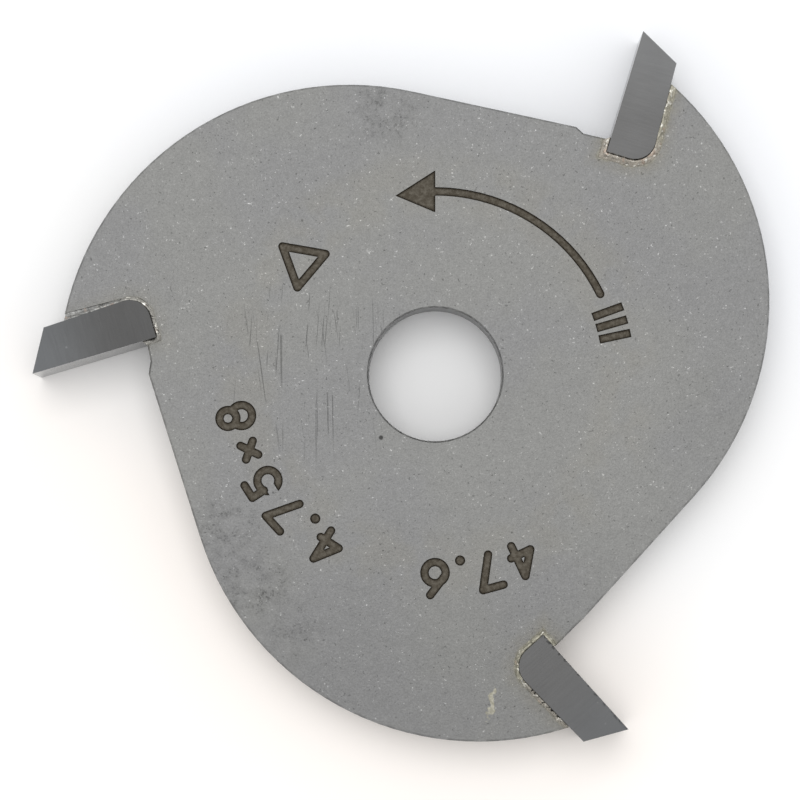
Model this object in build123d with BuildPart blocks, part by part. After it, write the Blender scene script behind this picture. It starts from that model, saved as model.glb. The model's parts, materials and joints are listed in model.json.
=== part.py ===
from build123d import *
import os
from math import atan2, cos, degrees, hypot, radians, sin, sqrt

# Three-wing slot cutter for an arbor: a flat steel body with three carbide tips,
# each brazed into a pocket of its own. Millimetres. The bore's axis is Z, the
# origin is in the middle of the bore, and the marked face looks along +Z.

# Driving dimensions
CUTTING_DIAMETER = 47.625  # 1 7/8 in
BORE_DIAMETER = 7.9375  # 5/16 in
BODY_THICKNESS = 3.175  # 1/8 in
KERF_WIDTH = 4.7625  # 3/16 in, the width of the slot that the tips cut
WING_COUNT = 3
FIRST_WING_ANGLE = 58.6  # direction of the first cutting edge, from +X
EDGE_BREAK = 0.1

# Body outline, in a wing's own frame: +X to the cutting edge, +Y in the cutting direction
BACK_ARC_CENTRE = (5.10, 0.13)
BACK_ARC_RADIUS = 17.30
BACK_ARC_END = -6.0  # the arc runs on into the tip
FLAT_NORMAL_ANGLE = -100.9
GULLETS = (  # each wing's ground step: its height on the flat, its foot, and its outer end
    (0.51, (16.86, -0.05), (17.28, -1.33)),
    (0.40, (16.92, -0.40), (17.12, -1.30)),
    (0.73, (17.02, 0.25), (17.45, -1.19)),
)
LIP_LENGTH = 0.98  # how far the body reaches along the rake face

# Carbide tip
TIP_LENGTH = 7.46
TIP_THICKNESS = 2.66  # at its root
ROOT_CORNER_RADIUS = 1.25
HOOK_ANGLE = 14.0
BACK_TAPER = 2.0  # the back runs in towards the cutting edge
PERIPHERY_RELIEF = 13.0
SIDE_RELIEF_RADIAL = 0.8  # the tip narrows towards the bore
SIDE_RELIEF_BACK = 1.6  # and behind its cutting edge
TIP_TILTS = (0.5, 4.0, -0.5)  # how far each tip lies turned in its pocket
TIP_SHIFTS = (0.0, 0.03, 0.0)  # and moved forward

# Braze
BRAZE_GAP = 0.1
BRAZE_LEGS = (0.32, 0.16, 0.20)
BRAZE_SLOPE = 42.0
BRAZE_SETBACK = 0.06  # keeps the fillet off the body's outer edge

# Etched marks
MARK_DEPTH = 0.05
MARK_STROKE = 0.50
NUMERAL_WIDTH = 1.25
NUMERAL_HEIGHT = 1.95
NUMERAL_PITCH = 10.2  # degrees from one numeral to the next
DIAMETER_MARK = ("47.6", 12.1, -59.5)  # numerals, radius, angle of the first one
WIDTH_MARK = ("4.75x8", 12.1, -117.0)
ARROW_RADIUS = 10.9
ARROW_START = 26.0
ARROW_SWEEP = 64.0
ARROW_HEAD_SWEEP = 12.5
ARROW_HEAD_WIDTH = 2.5
TAIL_BARS = (12.0, 16.0, 20.0)
TAIL_BAR_LENGTH = 1.9
SIGN_RADIUS = 10.35
SIGN_ANGLE = 140.0
SIGN_SIZE = 1.5

CUTTING_RADIUS = CUTTING_DIAMETER / 2
HALF_BODY = BODY_THICKNESS / 2
HALF_KERF = KERF_WIDTH / 2
WING_STEP = 360 / WING_COUNT


def wing_angle(wing):
    """Direction of a wing's cutting edge, in degrees."""
    return FIRST_WING_ANGLE + wing * WING_STEP


def wing_plane(wing, height):
    """A plane across the bore's axis, turned so that its X points to the wing."""
    return Plane.XY.rotated((0, 0, wing_angle(wing))).offset(height)


def turned(point, angle):
    """A point turned about the origin."""
    x, y = point
    turn = radians(angle)
    return (x * cos(turn) - y * sin(turn), x * sin(turn) + y * cos(turn))


def polar(radius, angle):
    """A point at a radius and an angle in degrees."""
    return (radius * cos(radians(angle)), radius * sin(radians(angle)))


def polar_from(centre, radius, angle):
    """A point at a radius and an angle from a centre."""
    return along(centre, polar(1, angle), radius)


def along(point, direction, distance):
    """A point moved along a direction."""
    return (point[0] + distance * direction[0], point[1] + distance * direction[1])


def crossing(point, direction, line_point, line_direction):
    """Where two lines cross."""
    dx = line_point[0] - point[0]
    dy = line_point[1] - point[1]
    cross = direction[0] * line_direction[1] - direction[1] * line_direction[0]
    return along(point, direction, (dx * line_direction[1] - dy * line_direction[0]) / cross)


def tip_corners(tilt, shift):
    """Cutting corner, back corner, and the root's back and front corners of a tip."""
    rake = polar(1, HOOK_ANGLE)
    root_front = along((CUTTING_RADIUS, 0), rake, -TIP_LENGTH)
    root_front = (root_front[0], root_front[1] + shift)
    rake = polar(1, HOOK_ANGLE + tilt)
    to_back = polar(1, HOOK_ANGLE + tilt - 90)
    # The rake face runs out from the root to the cutting circle.
    out = root_front[0] * rake[0] + root_front[1] * rake[1]
    reach = sqrt(out**2 + CUTTING_RADIUS**2 - hypot(*root_front) ** 2) - out
    cutting_corner = along(root_front, rake, reach)
    root_back = along(root_front, to_back, TIP_THICKNESS)
    edge_angle = degrees(atan2(cutting_corner[1], cutting_corner[0]))
    relief = polar(1, edge_angle - 90 - PERIPHERY_RELIEF)
    back_corner = crossing(cutting_corner, relief, root_back, polar(1, HOOK_ANGLE + tilt + BACK_TAPER))
    return cutting_corner, back_corner, root_back, root_front


def gullet_start(wing):
    """Where a wing's ground step meets the next wing's flat, in the wing's own frame."""
    height = GULLETS[wing][0]
    normal = FLAT_NORMAL_ANGLE + WING_STEP
    flat_distance = (
        BACK_ARC_CENTRE[0] * cos(radians(FLAT_NORMAL_ANGLE))
        + BACK_ARC_CENTRE[1] * sin(radians(FLAT_NORMAL_ANGLE))
        + BACK_ARC_RADIUS
    )
    return ((flat_distance - height * sin(radians(normal))) / cos(radians(normal)), height)


def body_outline():
    """The body's outline with its pockets still filled, as a closed line."""
    arc_start = polar_from(BACK_ARC_CENTRE, BACK_ARC_RADIUS, FLAT_NORMAL_ANGLE)
    arc_middle = polar_from(BACK_ARC_CENTRE, BACK_ARC_RADIUS, FLAT_NORMAL_ANGLE / 2)
    # Inside the pocket the outline crosses the tip, where it is cut away.
    arc_end = polar_from(BACK_ARC_CENTRE, BACK_ARC_RADIUS, BACK_ARC_END)
    seat = along((CUTTING_RADIUS, 0), polar(1, HOOK_ANGLE), TIP_THICKNESS / 2 - TIP_LENGTH)
    seat = along(seat, polar(1, HOOK_ANGLE - 90), TIP_THICKNESS / 2)
    lip = along((CUTTING_RADIUS, 0), polar(1, HOOK_ANGLE), LIP_LENGTH - TIP_LENGTH)
    for wing in range(WING_COUNT):
        angle = wing_angle(wing)
        Line(turned(gullet_start(wing - 1), angle - WING_STEP), turned(arc_start, angle))
        ThreePointArc(turned(arc_start, angle), turned(arc_middle, angle), turned(arc_end, angle))
        foot, outer_end = GULLETS[wing][1:]
        points = (arc_end, seat, lip, outer_end, foot, gullet_start(wing))
        Polyline(*[turned(point, angle) for point in points])


def tip_section(wing, height, grow=0.0, seated=True):
    """A tip's outline at a height, with its root's back corner rounded, and grown by an amount."""
    tilt = TIP_TILTS[wing] if seated else 0.0
    shift = TIP_SHIFTS[wing] if seated else 0.0
    corners = tip_corners(tilt, shift)
    with BuildSketch(wing_plane(wing, height)) as section:
        with BuildLine():
            Polyline(*corners, close=True)
        make_face()
        root_back = section.vertices().sort_by_distance(Vector(*corners[2], 0))[0]
        fillet(root_back, ROOT_CORNER_RADIUS)
        if grow > 0:
            offset(amount=grow, kind=Kind.INTERSECTION, mode=Mode.REPLACE)
    return section.sketch


def straight_stroke(start, end):
    """Etch a straight stroke with round ends."""
    across = end[0] - start[0]
    up = end[1] - start[1]
    with Locations(((start[0] + end[0]) / 2, (start[1] + end[1]) / 2)):
        SlotCenterToCenter(hypot(across, up), MARK_STROKE, rotation=degrees(atan2(up, across)))


def ring_stroke(centre, radius):
    """Etch a ring."""
    with Locations(centre):
        Circle(radius + MARK_STROKE / 2)
        Circle(radius - MARK_STROKE / 2, mode=Mode.SUBTRACT)


def numeral_strokes(symbol):
    """Draw one symbol about its own middle."""
    side = NUMERAL_WIDTH / 2
    top = NUMERAL_HEIGHT / 2
    bowl = (0, side - top)  # the lower bowl of a round numeral
    if symbol == "4":
        straight_stroke((side / 2, -top), (side / 2, top))
        straight_stroke((side / 2, top), (-side, -top / 3))
        straight_stroke((-side, -top / 3), (side, -top / 3))
    elif symbol == "5":
        ring_stroke(bowl, side)
        with Locations((-side, bowl[1] + side * 0.15)):
            Rectangle(side * 1.6, side * 0.9, mode=Mode.SUBTRACT)
        straight_stroke((-side * 0.6, top), (side * 0.8, top))
        straight_stroke((-side * 0.6, top), polar_from(bowl, side, 125))
    elif symbol == "6":
        ring_stroke(bowl, side)
        straight_stroke(polar_from(bowl, side, 165), (side * 0.45, top))
    elif symbol == "7":
        straight_stroke((-side, top), (side, top))
        straight_stroke((side, top), (-side / 3, -top))
    elif symbol == "8":
        ring_stroke(bowl, side)
        ring_stroke((0, top - side * 0.8), side * 0.8)
    elif symbol == "x":
        straight_stroke((-side * 0.7, -top * 0.6), (side * 0.7, top * 0.2))
        straight_stroke((-side * 0.7, top * 0.2), (side * 0.7, -top * 0.6))
    elif symbol == ".":
        with Locations((0, -top)):
            Circle(MARK_STROKE * 0.6)


def mark_plane(radius, angle):
    """A plane on the marked face, with its Y pointing away from the bore."""
    x, y = polar(radius, angle)
    across = polar(1, angle - 90)
    return Plane(origin=(x, y, HALF_BODY), x_dir=(across[0], across[1], 0), z_dir=(0, 0, 1))


def numeral_row(text, radius, first_angle):
    """A row of numerals round the body, read clockwise. A point takes half a place."""
    numerals = []
    angle = first_angle
    for symbol in text:
        step = NUMERAL_PITCH / 2 if symbol == "." else NUMERAL_PITCH
        angle -= step / 2
        with BuildSketch(mark_plane(radius, angle)) as numeral:
            numeral_strokes(symbol)
        numerals.append(numeral.sketch)
        angle -= step / 2
    return numerals


def rotation_arrow():
    """The arrow that gives the cutting direction, with three bars at its tail."""
    head = ARROW_START + ARROW_SWEEP
    with BuildSketch(Plane.XY.offset(HALF_BODY)) as arrow:
        shaft = CenterArc((0, 0), ARROW_RADIUS, ARROW_START, ARROW_SWEEP, mode=Mode.PRIVATE)
        SlotArc(shaft, MARK_STROKE)
        with BuildLine():
            Polyline(
                polar(ARROW_RADIUS - ARROW_HEAD_WIDTH / 2, head),
                polar(ARROW_RADIUS, head + ARROW_HEAD_SWEEP),
                polar(ARROW_RADIUS + ARROW_HEAD_WIDTH / 2, head),
                close=True,
            )
        make_face()
        for bar in TAIL_BARS:
            with Locations(polar(ARROW_RADIUS, bar)):
                Rectangle(TAIL_BAR_LENGTH, MARK_STROKE, rotation=bar)
    return arrow.sketch


def three_wing_sign():
    """A plain three-sided sign for the three wings."""
    with BuildSketch(mark_plane(SIGN_RADIUS, SIGN_ANGLE)) as sign:
        for corner in range(WING_COUNT):
            here = 90 + corner * WING_STEP
            straight_stroke(polar(SIGN_SIZE, here), polar(SIGN_SIZE, here + WING_STEP))
    return sign.sketch


def filled_body():
    """The body's plate with its pockets still filled."""
    with BuildPart() as plate:
        with BuildSketch(Plane.XY.offset(-HALF_BODY)):
            with BuildLine():
                body_outline()
            make_face()
            Circle(BORE_DIAMETER / 2, mode=Mode.SUBTRACT)
        extrude(amount=BODY_THICKNESS)
        chamfer(faces().filter_by(Axis.Z).edges(), EDGE_BREAK)
    return plate.part


def make_tip(wing):
    """One carbide tip, with the relief of its two sides ground on."""
    cutting_corner = tip_corners(TIP_TILTS[wing], TIP_SHIFTS[wing])[0]
    x, y = turned(cutting_corner, wing_angle(wing))
    rake_angle = wing_angle(wing) + HOOK_ANGLE + TIP_TILTS[wing]
    fall_in = polar(sin(radians(SIDE_RELIEF_RADIAL)), rake_angle)
    fall_back = polar(sin(radians(SIDE_RELIEF_BACK)), rake_angle + 90)
    with BuildPart() as tip:
        extrude(tip_section(wing, -HALF_KERF), amount=KERF_WIDTH)
        for side in (1, -1):
            normal = (-fall_in[0] - fall_back[0], -fall_in[1] - fall_back[1], side)
            split(bisect_by=Plane(origin=(x, y, side * HALF_KERF), z_dir=normal), keep=Keep.BOTTOM)
    return tip.part


def make_braze(wing, tip):
    """The solder of one tip: the film in the pocket and a fillet on each face."""
    with BuildPart() as braze:
        extrude(tip_section(wing, -HALF_BODY, BRAZE_GAP, seated=False), amount=BODY_THICKNESS)
        for side in (1, -1):
            foot = tip_section(wing, side * HALF_BODY, BRAZE_GAP + BRAZE_LEGS[wing])
            extrude(foot, amount=side * BRAZE_LEGS[wing], taper=BRAZE_SLOPE)
        with BuildSketch(Plane.XY.offset(-HALF_KERF)):
            with BuildLine():
                body_outline()
            make_face()
            scale(by=1 - BRAZE_SETBACK / CUTTING_RADIUS)
        extrude(amount=KERF_WIDTH, mode=Mode.INTERSECT)
        add(tip, mode=Mode.SUBTRACT)
    return braze.part


def make_body(plate):
    """The plate with its three pockets cut through and its marks etched."""
    with BuildPart() as body:
        add(plate)
        for wing in range(WING_COUNT):
            pocket = tip_section(wing, -HALF_BODY, BRAZE_GAP, seated=False)
            extrude(pocket, amount=BODY_THICKNESS, mode=Mode.SUBTRACT)
        marks = numeral_row(*DIAMETER_MARK) + numeral_row(*WIDTH_MARK)
        for mark in marks + [rotation_arrow(), three_wing_sign()]:
            extrude(mark, amount=-MARK_DEPTH, mode=Mode.SUBTRACT)
    return body.part


def write(shape, name):
    """Label a finished piece and write its STEP file."""
    shape.label = name
    export_step(shape, f"parts/{name}.step")


os.makedirs("parts", exist_ok=True)

plate = filled_body()
write(make_body(plate), "body_disc")
for wing in range(WING_COUNT):
    tip = make_tip(wing)
    write(tip, f"carbide_tip_{wing + 1}")
    write(make_braze(wing, tip), f"braze_{wing + 1}")
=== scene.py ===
"""The looks of a three-wing slot cutter: blasted steel, ground carbide and lumpy silver solder."""

import json
import math
import random
from types import SimpleNamespace

import bmesh
import bpy
from mathutils import Matrix, Vector, noise


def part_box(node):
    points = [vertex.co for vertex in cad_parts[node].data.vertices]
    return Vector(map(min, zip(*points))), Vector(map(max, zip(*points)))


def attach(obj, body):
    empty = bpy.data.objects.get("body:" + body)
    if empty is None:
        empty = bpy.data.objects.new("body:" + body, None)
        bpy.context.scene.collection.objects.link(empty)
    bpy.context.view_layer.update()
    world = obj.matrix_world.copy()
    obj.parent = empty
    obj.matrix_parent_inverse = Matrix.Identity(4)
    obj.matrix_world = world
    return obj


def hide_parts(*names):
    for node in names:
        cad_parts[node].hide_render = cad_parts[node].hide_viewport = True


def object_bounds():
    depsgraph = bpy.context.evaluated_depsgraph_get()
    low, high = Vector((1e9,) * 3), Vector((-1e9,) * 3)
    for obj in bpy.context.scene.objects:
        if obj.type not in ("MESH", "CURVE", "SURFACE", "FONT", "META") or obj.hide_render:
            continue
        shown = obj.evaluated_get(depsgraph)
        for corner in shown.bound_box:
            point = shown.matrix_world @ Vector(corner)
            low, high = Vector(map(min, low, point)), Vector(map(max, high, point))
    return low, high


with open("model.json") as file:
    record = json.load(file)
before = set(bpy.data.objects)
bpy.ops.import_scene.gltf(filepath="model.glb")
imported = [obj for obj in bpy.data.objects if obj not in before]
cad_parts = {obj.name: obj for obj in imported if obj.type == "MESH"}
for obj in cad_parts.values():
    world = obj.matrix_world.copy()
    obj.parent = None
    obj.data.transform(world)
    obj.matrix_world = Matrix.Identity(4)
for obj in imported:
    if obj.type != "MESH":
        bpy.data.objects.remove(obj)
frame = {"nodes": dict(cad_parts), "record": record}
cad_low, cad_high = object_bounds()

MM = 0.001  # a millimetre in metres: sizes below are in millimetres unless they say otherwise
SEED = 7  # of the first joint: each joint has the next
WELD = 0.001 * MM  # corners of a mesh closer than this are one
SHARP = 1.0  # edges that turn more than this many radians are corners of the solid

BODY_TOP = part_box("body_disc")[1].z / MM
TIP_TOP = cad_high.z / MM
BORE_RADIUS = frame["record"]["mounts"][0]["dims"]["r_mm"]
TIPS = ("carbide_tip_1", "carbide_tip_2", "carbide_tip_3")
BRAZES = ("braze_1", "braze_2", "braze_3")


def tip_shape(tip):
    """A tip's outline in millimetres, told from the two long edges of its top face: rake and back."""
    solid = bmesh.new()
    solid.from_mesh(frame["nodes"][tip].data)
    bmesh.ops.remove_doubles(solid, verts=solid.verts, dist=WELD)
    sharp = [edge for edge in solid.edges if len(edge.link_faces) == 2 and edge.calc_face_angle() > SHARP]
    on_top = [edge for edge in sharp if min(vert.co.z for vert in edge.verts) > 0]
    on_top.sort(key=lambda edge: edge.calc_length(), reverse=True)
    rake, back = ([vert.co.xy / MM for vert in edge.verts] for edge in on_top[:2])
    solid.free()
    root, corner = sorted(rake, key=lambda place: place.length)
    along = (corner - root).normalized()
    across = Vector((along.y, -along.x))
    ends = sorted(((place - root).dot(along), abs((place - root).dot(across))) for place in back)
    (near, near_thickness), (far, far_thickness) = ends
    taper = (far_thickness - near_thickness) / (far - near)
    return SimpleNamespace(
        root=root,
        angle=math.atan2(along.y, along.x),
        length=(corner - root).length,
        thickness=near_thickness - taper * near,
        taper=taper,
        corner=near,
    )


TIP_SHAPES = {tip: tip_shape(tip) for tip in TIPS}


# ---------------------------------------------------------------- material helpers


class Shader:
    """A material's node tree, with short calls for the nodes used below."""

    def __init__(self, name):
        self.material = bpy.data.materials.new(name)
        self.material.use_nodes = True
        self.tree = self.material.node_tree
        self.surface = self.tree.nodes["Principled BSDF"]
        self.place = self.node("ShaderNodeTexCoord").outputs["Object"]

    def node(self, kind, **values):
        made = self.tree.nodes.new(kind)
        for name, value in values.items():
            setattr(made, name, value)
        return made

    def feed(self, socket, value):
        if isinstance(value, bpy.types.NodeSocket):
            self.tree.links.new(value, socket)
        else:
            socket.default_value = value

    def scaled(self, per_mm, turn=0.0, shift=0.0):
        """Coordinates that count per_mm units in each millimetre, after a turn about Z."""
        turned = self.node("ShaderNodeMapping")
        self.feed(turned.inputs["Vector"], self.place)
        turned.inputs["Rotation"].default_value = (0, 0, -turn)
        sized = self.node("ShaderNodeMapping")
        self.feed(sized.inputs["Vector"], turned.outputs["Vector"])
        scale = per_mm if isinstance(per_mm, tuple) else (per_mm,) * 3
        sized.inputs["Scale"].default_value = [value / MM for value in scale]
        sized.inputs["Location"].default_value = (shift, shift, shift)
        return sized.outputs["Vector"]

    def noise(self, per_mm, detail=2.0, roughness=0.5, turn=0.0, shift=0.0):
        """Smooth noise between 0 and 1, its waves per_mm to a millimetre."""
        made = self.node("ShaderNodeTexNoise")
        self.feed(made.inputs["Vector"], self.scaled(per_mm, turn, shift))
        made.inputs["Scale"].default_value = 1.0
        made.inputs["Detail"].default_value = detail
        made.inputs["Roughness"].default_value = roughness
        return made.outputs["Fac"]

    def specks(self, per_mm, share, reach, shift=0.0):
        """Round spots, one in a share of the cells of a grid, 1 in their middles and 0 beyond reach."""
        cells = self.node("ShaderNodeTexVoronoi")
        self.feed(cells.inputs["Vector"], self.scaled(per_mm, shift=shift))
        cells.inputs["Scale"].default_value = 1.0
        chosen = self.math("GREATER_THAN", self.parts(cells.outputs["Color"])[0], 1 - share)
        size = self.band(self.parts(cells.outputs["Color"])[1], 0.0, 1.0, reach * 0.5, reach, smooth=False)
        nearness = self.math("SUBTRACT", 1.0, self.math("DIVIDE", cells.outputs["Distance"], size))
        return self.math("MULTIPLY", chosen, self.band(nearness, 0.0, 0.6))

    def vector(self, operation, a, b):
        made = self.node("ShaderNodeVectorMath", operation=operation)
        self.feed(made.inputs[0], a)
        self.feed(made.inputs[1], b)
        return made.outputs["Vector"]

    def math(self, operation, a, b=0.0):
        made = self.node("ShaderNodeMath", operation=operation)
        self.feed(made.inputs[0], a)
        self.feed(made.inputs[1], b)
        return made.outputs["Value"]

    def product(self, *values):
        result = values[0]
        for value in values[1:]:
            result = self.math("MULTIPLY", result, value)
        return result

    def total(self, *values):
        result = values[0]
        for value in values[1:]:
            result = self.math("ADD", result, value)
        return result

    def in_mm(self, length):
        return self.math("MULTIPLY", length, 1 / MM)

    def band(self, value, low, high, out_low=0.0, out_high=1.0, smooth=True):
        """Maps low..high of a value to out_low..out_high, held at both ends."""
        made = self.node("ShaderNodeMapRange")
        made.interpolation_type = "SMOOTHSTEP" if smooth else "LINEAR"
        self.feed(made.inputs["Value"], value)
        self.feed(made.inputs["From Min"], low)
        self.feed(made.inputs["From Max"], high)
        self.feed(made.inputs["To Min"], out_low)
        self.feed(made.inputs["To Max"], out_high)
        return made.outputs["Result"]

    def mix(self, factor, a, b):
        made = self.node("ShaderNodeMix", data_type="RGBA")
        self.feed(made.inputs["Factor"], factor)
        self.feed(made.inputs[6], a)
        self.feed(made.inputs[7], b)
        return made.outputs[2]

    def tinted(self, colour, brightness):
        """A colour times a brightness."""
        made = self.node("ShaderNodeVectorMath", operation="SCALE")
        self.feed(made.inputs[0], colour)
        self.feed(made.inputs["Scale"], brightness)
        return made.outputs["Vector"]

    def lerp(self, factor, a, b):
        made = self.node("ShaderNodeMix", data_type="FLOAT")
        self.feed(made.inputs["Factor"], factor)
        self.feed(made.inputs[2], a)
        self.feed(made.inputs[3], b)
        return made.outputs[0]

    def parts(self, vector):
        made = self.node("ShaderNodeSeparateXYZ")
        self.feed(made.inputs[0], vector)
        return made.outputs

    def facing_up(self):
        """How far the surface faces along Z, either way: 1 on the flat faces, 0 on the walls."""
        return self.math("ABSOLUTE", self.parts(self.node("ShaderNodeNewGeometry").outputs["Normal"])[2])

    def radius(self):
        """Distance from the bore's axis, in millimetres."""
        made = self.node("ShaderNodeVectorMath", operation="LENGTH")
        self.feed(made.inputs[0], self.vector("MULTIPLY", self.place, (1, 1, 0)))
        return self.in_mm(made.outputs["Value"])

    def distance_to(self, radius, angle):
        """Distance in millimetres across the face from a point at a radius and an angle."""
        made = self.node("ShaderNodeVectorMath", operation="DISTANCE")
        self.feed(made.inputs[0], self.vector("MULTIPLY", self.place, (1, 1, 0)))
        self.feed(made.inputs[1], (*on_circle(radius, angle), 0))
        return self.in_mm(made.outputs["Value"])

    def along_tip(self, tip):
        """Coordinates in millimetres from the root of a tip: X along its rake edge, Y away from its back."""
        shape = TIP_SHAPES[tip]
        moved = self.vector("SUBTRACT", self.place, (shape.root.x * MM, shape.root.y * MM, 0))
        turned = self.node("ShaderNodeMapping")
        self.feed(turned.inputs["Vector"], moved)
        turned.inputs["Rotation"].default_value = (0, 0, -shape.angle)
        return self.parts(self.vector("MULTIPLY", turned.outputs["Vector"], (1 / MM,) * 3))[:2]

    def distance_from_tip(self, tip):
        """Distance in millimetres across the face from a tip's outline and its rounded root corner."""
        shape = TIP_SHAPES[tip]
        x, y = self.along_tip(tip)
        from_back = self.total(y, self.product(x, shape.taper), shape.thickness)
        corner = self.node("ShaderNodeCombineXYZ")
        for socket, reach in zip(corner.inputs[:2], (x, from_back), strict=True):
            self.feed(socket, self.math("MINIMUM", self.math("SUBTRACT", reach, shape.corner), 0.0))
        made = self.node("ShaderNodeVectorMath", operation="LENGTH")
        self.feed(made.inputs[0], corner.outputs["Vector"])
        beyond_root = self.math("SUBTRACT", made.outputs["Value"], shape.corner)
        beyond_end = self.math("MAXIMUM", y, self.math("SUBTRACT", x, shape.length))
        return self.math("MAXIMUM", beyond_root, beyond_end)

    def closeness(self, reach):
        """1 where walls stand close around, 0 in the open."""
        shut = self.node("ShaderNodeAmbientOcclusion", samples=8, only_local=True)
        shut.inputs["Distance"].default_value = reach * MM
        return self.math("SUBTRACT", 1.0, shut.outputs["AO"])

    def rounded(self, radius):
        """The surface's normal with its sharp edges rounded off."""
        made = self.node("ShaderNodeBevel", samples=4)
        made.inputs["Radius"].default_value = radius * MM
        return made.outputs["Normal"]

    def bump(self, height, distance, normal=None):
        made = self.node("ShaderNodeBump")
        self.feed(made.inputs["Height"], height)
        made.inputs["Distance"].default_value = distance * MM
        if normal is not None:
            self.feed(made.inputs["Normal"], normal)
        self.feed(self.surface.inputs["Normal"], made.outputs["Normal"])


def on_circle(radius, angle):
    """X and Y in metres of a point at a radius in millimetres and an angle in degrees."""
    return radius * MM * math.cos(math.radians(angle)), radius * MM * math.sin(math.radians(angle))


def grey(value, warm=0.0):
    """A linear grey, a little warmer or cooler."""
    return (value * (1 + warm), value, value * (1 - warm), 1.0)


def put_on(piece, material):
    piece.data.materials.clear()
    piece.data.materials.append(material)


# ---------------------------------------------------------------- blasted steel body

STEEL = 0.200  # the plate's grey, linear
STAINS = (  # radius, angle, reach in millimetres, and how dark
    (15.9, 101, 3.0, 0.60),
    (16.6, 229, 3.2, 0.85),
    (15.6, 216, 3.0, 0.70),
    (17.2, 242, 2.4, 0.60),
    (16.5, -8, 4.0, 0.20),
)
SCRATCHED = (7.2, 176)  # the middle of the scratched patch, as a radius and an angle
SCRATCHED_REACH = (7.0, 3.0)  # outside the first there are no scratches, inside the second they are whole
SCRATCH_SETS = ((-4, 0.0), (8, 6.0), (1, 13.0))  # each set's turn from Y in degrees and shift in the noise
NICK = (4.95, 229.4)  # a small dent beside the bore
SOLDER_REACH = (0.42, 0.24, 0.28)  # how far solder shows beside each tip
SOLDER_WARMTH = (0.75, 0.30, 0.60)  # how strongly it has tinted the steel beside each tip
WET_STEEL = ((0.180, 0.172, 0.140, 1), (0.300, 0.288, 0.240, 1))  # between the grains and on them
FLUX_SMEAR = (19.7, -80.6)  # a drip of flux near the rim
FLUX_STRETCH = 0.26  # its width over its length
FLUX_WAVER = 1.6  # the width that it wanders over
FLUX_COLOURS = ((0.38, 0.36, 0.28, 1), (0.56, 0.54, 0.45, 1))  # between the grains and on them
MARK_RING = (8.8, 13.8)  # the marks lie between these radii
HAZE_FADE = 1.6  # how far inside that ring the haze round the marks is whole
MARK_DEPTHS = (0.012, 0.03, 0.2)  # below the face: where a mark begins, where it is whole, where it ends
MARK_WALL = 0.16  # how far out from a mark's wall its floor is darkened
MARK_BROWNS = ((0.092, 0.080, 0.062, 1), (0.165, 0.150, 0.124, 1))
MARK_OUTLINE = (0.026, 0.021, 0.015, 1)


def stains(s, on_face):
    """Stains near the rim of the marked face, broken up, and the pits that they have eaten."""
    broken = s.band(s.noise(1.1, 5, 0.7, shift=3.0), 0.40, 0.62)
    stained = 0.0
    for place, angle, reach, depth in STAINS:
        near = s.band(s.distance_to(place, angle), reach, reach * 0.2, 0.0, depth)
        stained = s.math("MAXIMUM", stained, near)
    stained = s.product(stained, broken, on_face)
    rot = s.product(stained, s.band(s.noise(4.2, 3, 0.7, shift=5.0), 0.46, 0.36))
    return stained, rot


def scratches(s, on_face):
    """Faint scratches left of the bore, nearly along Y."""
    scratch = 0.0
    for turn, shift in SCRATCH_SETS:
        lines = s.noise((8.5, 0.10, 0.4), 2, 0.5, turn=math.radians(turn), shift=shift)
        kept = s.band(s.noise(0.35, 1, shift=9.0 + shift), 0.47, 0.58)
        scratch = s.math("MAXIMUM", scratch, s.product(s.band(lines, 0.65, 0.685), kept))
    return s.product(scratch, s.band(s.distance_to(*SCRATCHED), *SCRATCHED_REACH), on_face)


def mark_haze(s, colour, tone, radius, on_face):
    """Lays a warm haze over the ring that the etched marks lie in."""
    inner, outer = MARK_RING
    ring = s.product(s.band(radius, inner, inner + HAZE_FADE), s.band(radius, outer, outer - HAZE_FADE))
    haze = s.product(ring, s.band(s.noise(0.5, 2, 0.5, shift=2.0), 0.35, 0.6), on_face, 0.55)
    return s.mix(haze, colour, s.tinted((STEEL * 1.02, STEEL, STEEL * 0.93), tone))


def solder_wetting(s, colour, tone, grain):
    """Warms the steel round the brazed joints, and tints it where solder has wetted the face."""
    ragged = s.noise(1.6, 4, 0.65, shift=8.0)
    for tip, reach, warmth in zip(TIPS, SOLDER_REACH, SOLDER_WARMTH, strict=True):
        away = s.distance_from_tip(tip)
        warm = s.product(s.band(away, 1.4, 0.3), s.band(ragged, 0.3, 0.6, 0.4, 1.0), warmth)
        colour = s.mix(warm, colour, s.tinted((STEEL * 0.99, STEEL * 0.95, STEEL * 0.84), tone))
        edge_of_wet = s.band(ragged, 0.30, 0.70, reach * 0.8, reach * 1.3, smooth=False)
        wet = s.product(s.band(s.math("SUBTRACT", away, edge_of_wet), 0.12, -0.06), warmth)
        colour = s.mix(wet, colour, s.mix(s.band(grain, 0.42, 0.62), *WET_STEEL))
    return colour


def flux_drip(s, on_face):
    """How thickly a dried drip of flux, long along Y, covers the face."""
    waver = s.node("ShaderNodeCombineXYZ")
    s.feed(waver.inputs[0], s.product(s.total(s.noise(0.9, 2, 0.6, shift=27.0), -0.5), FLUX_WAVER * MM))
    smear = s.vector("MULTIPLY", s.vector("ADD", s.place, waver.outputs["Vector"]), (1, FLUX_STRETCH, 0))
    drip = s.node("ShaderNodeVectorMath", operation="DISTANCE")
    s.feed(drip.inputs[0], smear)
    drip_x, drip_y = on_circle(*FLUX_SMEAR)
    s.feed(drip.inputs[1], (drip_x, drip_y * FLUX_STRETCH, 0))
    worn = s.noise(2.6, 4, 0.7, shift=21.0)
    flux = s.total(s.band(s.in_mm(drip.outputs["Value"]), 0.42, 0.04), s.product(worn, 2.2), -1.55)
    return s.product(s.band(flux, 0.0, 0.30), on_face, 0.70)


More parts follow.
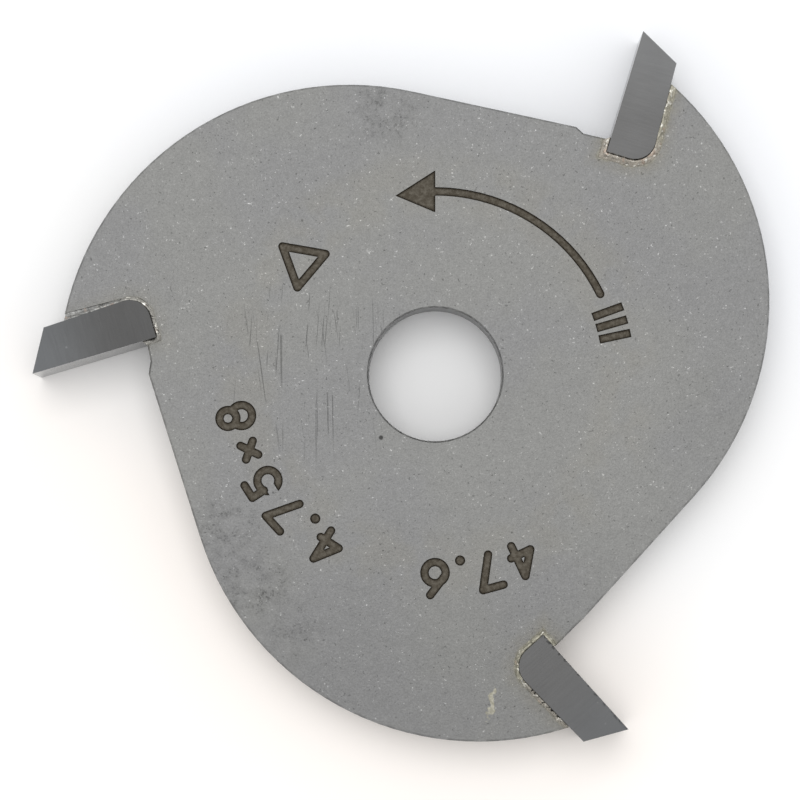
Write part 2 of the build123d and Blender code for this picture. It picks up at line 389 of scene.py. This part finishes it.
def etched_marks(s, height, radius):
    """Where the marks' floors lie below the face, and their colour: brown, darkest along the walls."""
    inner, outer = MARK_RING
    begins, whole, ends = MARK_DEPTHS
    depth = s.math("SUBTRACT", BODY_TOP, height)
    within = s.product(s.band(radius, inner - 0.1, inner), s.band(radius, outer + 1.0, outer + 0.7))
    etched = s.product(s.band(depth, begins, whole), s.math("LESS_THAN", depth, ends), within)
    wall = s.band(s.closeness(MARK_WALL), 0.015, 0.11)
    floor_colour = s.mix(s.band(s.noise(4.0, 4, 0.7, shift=5.0), 0.35, 0.7), *MARK_BROWNS)
    return etched, s.mix(wall, floor_colour, MARK_OUTLINE)


def blasted_steel():
    """Blasted faces with marks, stains, scratches and flux, between wheel-cut walls and a reamed bore."""
    s = Shader("blasted_steel")
    _, y, z = s.parts(s.place)
    height = s.in_mm(z)
    flat = s.facing_up()
    on_face = s.product(s.band(flat, 0.80, 0.97), s.band(height, 0.0, 0.5))
    radius = s.radius()
    in_bore = s.band(radius, BORE_RADIUS + 0.12, BORE_RADIUS + 0.06)
    side = s.band(flat, 0.35, 0.15)

    # Grain of the blasting: soft mottling, fine grain, dark grains of uneven shape, and painted glints:
    # bright specks of uneven shape painted into the colour.
    cloud = s.noise(0.13, 3, 0.5)
    mottle = s.noise(1.3, 3, 0.6)
    grain = s.noise(4.5, 4, 0.7)
    fine = s.noise(11.0, 2, 0.6)
    clusters = s.product(s.total(mottle, -0.5), 0.32)
    painted_glints = s.band(s.total(s.noise(6.5, 3, 0.6, shift=31.0), clusters), 0.663, 0.735)
    pits = s.band(s.noise(5.5, 3, 0.6, shift=17.0), 0.335, 0.27)
    tone = s.total(
        0.60,
        s.band(cloud, 0.3, 0.7, 0.0, 0.07, smooth=False),
        s.band(mottle, 0.2, 0.8, 0.0, 0.10, smooth=False),
        s.band(grain, 0.2, 0.8, 0.0, 0.38, smooth=False),
        s.band(fine, 0.2, 0.8, 0.0, 0.36, smooth=False),
        # painted glints: bright specks painted into the colour
        s.product(painted_glints, 0.40),
        s.product(pits, -0.26),
    )
    # Painted shade: the colour darkens towards -Y, standing in for a dimmer reflection there.
    tone = s.product(tone, s.band(s.in_mm(y), -21.0, -5.0, 0.89, 1.0))

    # What use has left on the marked face.
    stained, rot = stains(s, on_face)
    scratch = scratches(s, on_face)
    nick = s.product(s.band(s.distance_to(*NICK), 0.17, 0.08), on_face)
    tone = s.product(tone, s.band(stained, 0.0, 1.0, 1.0, 0.80, smooth=False))
    tone = s.product(tone, s.band(rot, 0.0, 0.8, 1.0, 0.62, smooth=False))
    tone = s.product(tone, s.band(scratch, 0.0, 1.0, 1.0, 0.66, smooth=False))
    tone = s.product(tone, s.band(nick, 0.0, 1.0, 1.0, 0.25, smooth=False))

    # The wheel-cut side walls and the reamed bore, its wall darkened as painted shade, with a painted
    # highlight on the chamfered edges.
    streaks = s.noise((9.0, 9.0, 0.35), 3, 0.6)
    rings = s.noise((0.3, 0.3, 16.0), 2, 0.5)
    side_tone = s.band(streaks, 0.3, 0.7, 0.78, 1.12, smooth=False)
    # Painted shade: the bore wall is darkened, with its reaming rings in it.
    bore_rings_and_shade = s.band(rings, 0.35, 0.65, 0.36, 0.55, smooth=False)
    tone = s.lerp(side, tone, s.lerp(in_bore, side_tone, bore_rings_and_shade))
    # Painted highlight: the chamfered edges are lightened.
    edge = s.product(s.band(flat, 0.35, 0.55), s.band(flat, 0.93, 0.85))
    tone = s.total(tone, s.product(edge, s.band(mottle, 0.4, 0.65, 0.05, 0.50)))

    pale, olive = ((STEEL, STEEL, STEEL * blue, 1) for blue in (0.995, 0.972))
    colour = s.tinted(s.mix(s.band(cloud, 0.4, 0.6), pale, olive), tone)
    colour = mark_haze(s, colour, tone, radius, on_face)
    colour = solder_wetting(s, colour, tone, grain)
    flux = flux_drip(s, on_face)
    colour = s.mix(flux, colour, s.mix(s.band(grain, 0.4, 0.6), *FLUX_COLOURS))
    etched, floor_colour = etched_marks(s, height, radius)
    colour = s.mix(etched, colour, floor_colour)
    s.feed(s.surface.inputs["Base Color"], colour)
    s.surface.inputs["Metallic"].default_value = 1.0
    rough = s.band(grain, 0.3, 0.7, 0.50, 0.62, smooth=False)
    rough = s.lerp(painted_glints, rough, 0.38)
    rough = s.lerp(in_bore, rough, 0.32)
    rough = s.lerp(s.math("MAXIMUM", etched, flux), rough, 0.75)
    s.feed(s.surface.inputs["Roughness"], rough)

    face_height = s.total(
        grain,
        s.product(fine, 0.6),
        s.product(mottle, 0.3),
        s.product(s.total(pits, rot, nick), -0.5),
        s.product(scratch, -0.4),
        s.product(flux, 0.5),
    )
    side_height = s.total(s.product(streaks, 1.2), s.product(fine, 0.2))
    wall_height = s.lerp(in_bore, side_height, s.product(rings, 0.3))
    s.bump(s.lerp(side, face_height, wall_height), 0.022, s.rounded(0.03))
    return s.material


# ---------------------------------------------------------------- ground carbide tips


TIP_PAINTED_SHADES = ((0.086, 0.110), (0.055, 0.080), (0.078, 0.084))  # painted light and shade: the three tips of one carbide in different greys, given at each tip's root and at its end
TIP_COOLNESS = (0.010, 0.035, 0.022)  # how blue each tip's end is
WALLS_PAINTED_REFLECTION = 2.4  # how much brighter the lapped walls are painted than the ground faces, as a painted reflection of the lit floor
RAKE_WEAR = (0.0, 0.0, 0.85)  # how much each rake edge is nicked


def ground_carbide(tip, shades, cool, wear):
    """Fine-ground tungsten carbide, its grinding lines across the tip, its rake face lapped smooth, and its
    walls painted brighter as a painted reflection.
    """
    s = Shader("ground_" + tip)
    turn = TIP_SHAPES[tip].angle
    lines = s.noise((9.0, 0.5, 0.5), 4, 0.6, turn=turn)
    upright = s.noise((0.6, 0.6, 12.0), 4, 0.6, turn=turn)
    face = s.band(s.facing_up(), 0.4, 0.8)
    ground = s.lerp(face, upright, lines)
    cloud = s.noise(0.35, 3, 0.5)
    fine = s.noise(14.0, 2, 0.5)
    nicks = s.specks(2.2, 0.03, 0.30)
    tone = s.total(
        0.84,
        s.band(cloud, 0.3, 0.7, 0.0, 0.10, smooth=False),
        s.band(ground, 0.25, 0.75, 0.0, 0.16, smooth=False),
        s.band(fine, 0.2, 0.8, 0.0, 0.08, smooth=False),
        s.product(nicks, 0.5),
    )
    x, y = s.along_tip(tip)
    height = s.math("ABSOLUTE", s.in_mm(s.parts(s.place)[2]))
    at_edge = s.product(s.band(y, -0.18, -0.04), s.band(height, TIP_TOP - 0.25, TIP_TOP - 0.08))
    worn = s.product(at_edge, s.band(s.noise(4.0, 3, 0.6, shift=6.0), 0.53, 0.60), wear)
    # Painted reflection: the lapped walls' colour is brightened.
    tone = s.product(tone, s.lerp(face, WALLS_PAINTED_REFLECTION, 1.0), s.band(worn, 0.0, 1.0, 1.0, 0.35, smooth=False))
    # Painted light and shade: each tip runs from its own grey at the root to another at its end.
    outward = s.band(x, TIP_SHAPES[tip].length * 0.25, TIP_SHAPES[tip].length)
    colour = s.mix(outward, grey(shades[0], 0.004), grey(shades[1], -cool))
    s.feed(s.surface.inputs["Base Color"], s.tinted(colour, tone))
    s.surface.inputs["Metallic"].default_value = 1.0
    rough = s.band(ground, 0.3, 0.7, 0.36, 0.46, smooth=False)
    s.feed(s.surface.inputs["Roughness"], s.lerp(face, s.band(fine, 0.3, 0.7, 0.14, 0.20), rough))
    s.bump(s.total(ground, s.product(fine, 0.25), s.product(worn, -4.0)), 0.005, s.rounded(0.02))
    return s.material


# ---------------------------------------------------------------- silver solder


# At each tip's root and along its back: colour, then shares of bright lumps, pits and painted seam shade.
SOLDER_LOOKS = (
    (((0.44, 0.405, 0.35, 1), 0.90, 0.45, 0.90), ((0.43, 0.41, 0.335, 1), 0.90, 0.20, 0.05)),
    (((0.38, 0.37, 0.34, 1), 1.00, 0.75, 0.60), ((0.32, 0.32, 0.31, 1), 0.15, 0.45, 0.05)),
    (((0.37, 0.355, 0.285, 1), 0.70, 0.40, 0.05), ((0.33, 0.31, 0.27, 1), 0.80, 1.00, 0.25)),
)
SOLDER_GLEAM = (0.85, 0.83, 0.76, 1)
COPPER = (0.46, 0.31, 0.23, 1)
BURNT_PIT = (0.020, 0.018, 0.015, 1)
SEAM_SHADE = (0.026, 0.023, 0.018, 1)
SOLDER_METALLIC = 0.65  # dulled by flux


def silver_solder(tip, looks):
    """Dull solder with bright lumps, coppery spots and burnt pits, with painted shade along its seam against
    its tip.
    """
    s = Shader("solder_" + tip)
    tone = s.noise(1.1, 3, 0.6, shift=4.0)
    lumps = s.noise(3.4, 4, 0.6)
    fine = s.noise(9.0, 3, 0.7)
    corner = TIP_SHAPES[tip].corner
    at_back = s.band(s.along_tip(tip)[0], corner * 0.7, corner * 1.5)
    colour, brightness, darkness, seam_shade = zip(*looks, strict=True)
    colour = s.mix(at_back, *colour)
    bright = s.product(s.band(lumps, 0.56, 0.63), s.lerp(at_back, *brightness))
    pits = s.product(s.band(s.noise(3.6, 3, 0.7, shift=7.0), 0.44, 0.39), s.lerp(at_back, *darkness))
    mottle = s.total(s.product(tone, 0.6), s.product(fine, 0.4))
    colour = s.tinted(colour, s.band(mottle, 0.35, 0.65, 0.72, 1.12))
    colour = s.mix(bright, colour, SOLDER_GLEAM)
    copper = s.band(s.noise(1.9, 2, 0.5, shift=11.0), 0.62, 0.70, 0.0, 0.4)
    colour = s.mix(copper, colour, COPPER)
    colour = s.mix(pits, colour, BURNT_PIT)
    # Painted shade: a dark line in the crease where the solder meets its tip.
    seam_shade = s.product(s.band(s.distance_from_tip(tip), 0.07, 0.02), s.lerp(at_back, *seam_shade))
    colour = s.mix(s.product(seam_shade, s.band(tone, 0.42, 0.54)), colour, SEAM_SHADE)
    s.feed(s.surface.inputs["Base Color"], colour)
    s.surface.inputs["Metallic"].default_value = SOLDER_METALLIC
    rough = s.band(lumps, 0.42, 0.64, 0.62, 0.34, smooth=False)
    s.feed(s.surface.inputs["Roughness"], s.lerp(pits, rough, 0.8))
    s.bump(s.total(lumps, s.product(fine, 0.5)), 0.03)
    return s.material


BRAZE_VOXEL = 0.04 * MM
BEAD_COUNT = 90
BEAD_RADII = (0.03 * MM, 0.085 * MM)
BEAD_SINK = 0.45  # how deep a bead's middle lies, as a share of its radius
FILLET_SLOPE = (0.2, 0.95)  # a fillet's faces have normals whose Z lies between these


def solder_joint(node, seed):
    """A lumpy bead grown on the plain solder of one joint."""
    draw = random.Random(seed)
    plain = frame["nodes"][node]
    grown = bmesh.new()
    grown.from_mesh(plain.data)
    bmesh.ops.remove_doubles(grown, verts=grown.verts, dist=WELD)
    sloped = [face for face in grown.faces if FILLET_SLOPE[0] < abs(face.normal.z) < FILLET_SLOPE[1]]
    weights = [face.calc_area() for face in sloped]
    places = []
    for face in draw.choices(sloped, weights, k=BEAD_COUNT):
        corners = [vert.co.copy() for vert in face.verts]
        shares = [draw.random() for _ in corners]
        total = sum(shares)
        place = Vector((0, 0, 0))
        for corner, share in zip(corners, shares, strict=True):
            place += corner * (share / total)
        places.append((place, face.normal.copy()))
    for place, normal in places:
        radius = BEAD_RADII[0] + (BEAD_RADII[1] - BEAD_RADII[0]) * draw.random() ** 2
        bead = bmesh.ops.create_icosphere(grown, subdivisions=2, radius=radius)["verts"]
        for vert in bead:
            vert.co = place - normal * radius * BEAD_SINK + vert.co
    mesh = bpy.data.meshes.new(node + "_solder")
    grown.to_mesh(mesh)
    grown.free()
    piece = bpy.data.objects.new(node + "_solder", mesh)
    bpy.context.scene.collection.objects.link(piece)
    remesh = piece.modifiers.new("remesh", "REMESH")
    remesh.mode = "VOXEL"
    remesh.voxel_size = BRAZE_VOXEL
    smooth = piece.modifiers.new("smooth", "SMOOTH")
    smooth.iterations = 2
    smooth.factor = 0.5
    apply_modifiers(piece)
    roughen(piece.data, seed)
    for polygon in piece.data.polygons:
        polygon.use_smooth = True
    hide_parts(node)
    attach(piece, "root")
    return piece


def apply_modifiers(piece):
    depsgraph = bpy.context.evaluated_depsgraph_get()
    result = bpy.data.meshes.new_from_object(piece.evaluated_get(depsgraph))
    piece.modifiers.clear()
    piece.data = result


def roughen(mesh, seed):
    """Moves the surface along its normals by noise: lumps, and a few sunken pits."""
    shift = Vector((seed * 3.1, seed * 1.7, 0))
    normals = [vert.normal.copy() for vert in mesh.vertices]
    for vert, normal in zip(mesh.vertices, normals, strict=True):
        place = vert.co / MM + shift
        wave = noise.noise(place * 0.9) * 0.03 + noise.noise(place * 2.3) * 0.04 - 0.025
        lump = noise.noise(place * 6.0) * 0.03
        pit = max(0.0, noise.noise(place * 3.1 + Vector((9, 9, 9))) - 0.30) * 0.20
        vert.co += normal * abs(normal.z) * (wave + lump - pit) * MM


# ---------------------------------------------------------------- the object

put_on(frame["nodes"]["body_disc"], blasted_steel())

for tip, shades, cool, wear in zip(TIPS, TIP_PAINTED_SHADES, TIP_COOLNESS, RAKE_WEAR, strict=True):
    put_on(frame["nodes"][tip], ground_carbide(tip, shades, cool, wear))
for number, (braze, tip, looks) in enumerate(zip(BRAZES, TIPS, SOLDER_LOOKS, strict=True)):
    put_on(solder_joint(braze, SEED + number), silver_solder(tip, looks))


# ---------------------------------------------------------------- floor, light and camera

FLOOR_SIZE = 6.0  # in metres, as are the overhead light's place and size
PAPER = (0.88, 0.90)  # its greys, from dark to light
PAPER_PAINTED_WARM_LIGHT = (0.925, 0.882, 0.845, 1)
PAPER_PAINTED_COOL_LIGHT = (0.880, 0.890, 0.912, 1)
TINTED_RADII = (34.0, 25.0)  # outside the first the paper is plain, inside the second its tints are whole
OVERHEAD_PLACE = (-0.03, 0.11, 0.62)
OVERHEAD_SIZE = 0.50
OVERHEAD_POWER = 1.75
WORLD_STRENGTH = 0.87
CAMERA_PLACE = Vector((-1.34, -10.18, 195.0)) * MM
CAMERA_TARGET = Vector((-2.10, -1.45, 0.0)) * MM
LENS = 146.9
SENSOR = 36.0  # the frame's width


def floor_material():
    """White paper, with painted warm light below and to the left of the cutter and painted cool light above
    and to its right.
    """
    s = Shader("white_floor")
    colour = s.mix(s.noise(0.02, 3, 0.5), grey(PAPER[0]), grey(PAPER[1]))
    x, y = s.parts(s.vector("MULTIPLY", s.place, (1 / MM,) * 3))[:2]
    downward = s.total(s.product(x, -0.4), s.product(y, -1.0))
    nearby = s.band(s.radius(), *TINTED_RADII)
    # Painted light: the paper tinted warm below and left of the cutter and cool above and right of it.
    colour = s.mix(s.product(s.band(downward, 3.0, 16.0), nearby), colour, PAPER_PAINTED_WARM_LIGHT)
    colour = s.mix(s.product(s.band(downward, 0.0, -16.0), nearby), colour, PAPER_PAINTED_COOL_LIGHT)
    s.feed(s.surface.inputs["Base Color"], colour)
    s.surface.inputs["Roughness"].default_value = 0.9
    s.surface.inputs["Specular IOR Level"].default_value = 0.1
    return s.material


def make_floor():
    half = FLOOR_SIZE / 2
    mesh = bpy.data.meshes.new("floor")
    corners = [(-half, -half, 0), (half, -half, 0), (half, half, 0), (-half, half, 0)]
    mesh.from_pydata(corners, [], [(0, 1, 2, 3)])
    floor = bpy.data.objects.new("floor", mesh)
    floor.location.z = cad_low.z
    bpy.context.scene.collection.objects.link(floor)
    put_on(floor, floor_material())


def area_light(name, place, size, power):
    """A square soft light that points at the object."""
    data = bpy.data.lights.new(name, "AREA")
    data.shape = "SQUARE"
    data.size = size
    data.energy = power
    light = bpy.data.objects.new(name, data)
    light.location = place
    light.rotation_euler = (-Vector(place)).to_track_quat("-Z", "Y").to_euler()
    bpy.context.scene.collection.objects.link(light)


def make_camera():
    """A camera that looks almost straight down, with +Y upwards in its picture."""
    data = bpy.data.cameras.new("camera")
    data.sensor_width = SENSOR
    data.lens = LENS
    data.clip_start = 0.01
    data.clip_end = 20.0
    camera = bpy.data.objects.new("camera", data)
    forward = (CAMERA_TARGET - CAMERA_PLACE).normalized()
    right = forward.cross(Vector((0, 1, 0))).normalized()
    up = right.cross(forward)
    camera.location = CAMERA_PLACE
    camera.rotation_euler = Matrix((right, up, -forward)).transposed().to_euler()
    bpy.context.scene.collection.objects.link(camera)
    bpy.context.scene.camera = camera


def make_world(strength):
    world = bpy.data.worlds.new("studio")
    world.use_nodes = True
    background = world.node_tree.nodes["Background"]
    background.inputs["Color"].default_value = (1, 1, 1, 1)
    background.inputs["Strength"].default_value = strength
    bpy.context.scene.world = world


make_floor()
area_light("overhead", OVERHEAD_PLACE, OVERHEAD_SIZE, OVERHEAD_POWER)
make_camera()
make_world(WORLD_STRENGTH)
bpy.context.scene.view_settings.view_transform = "Standard"
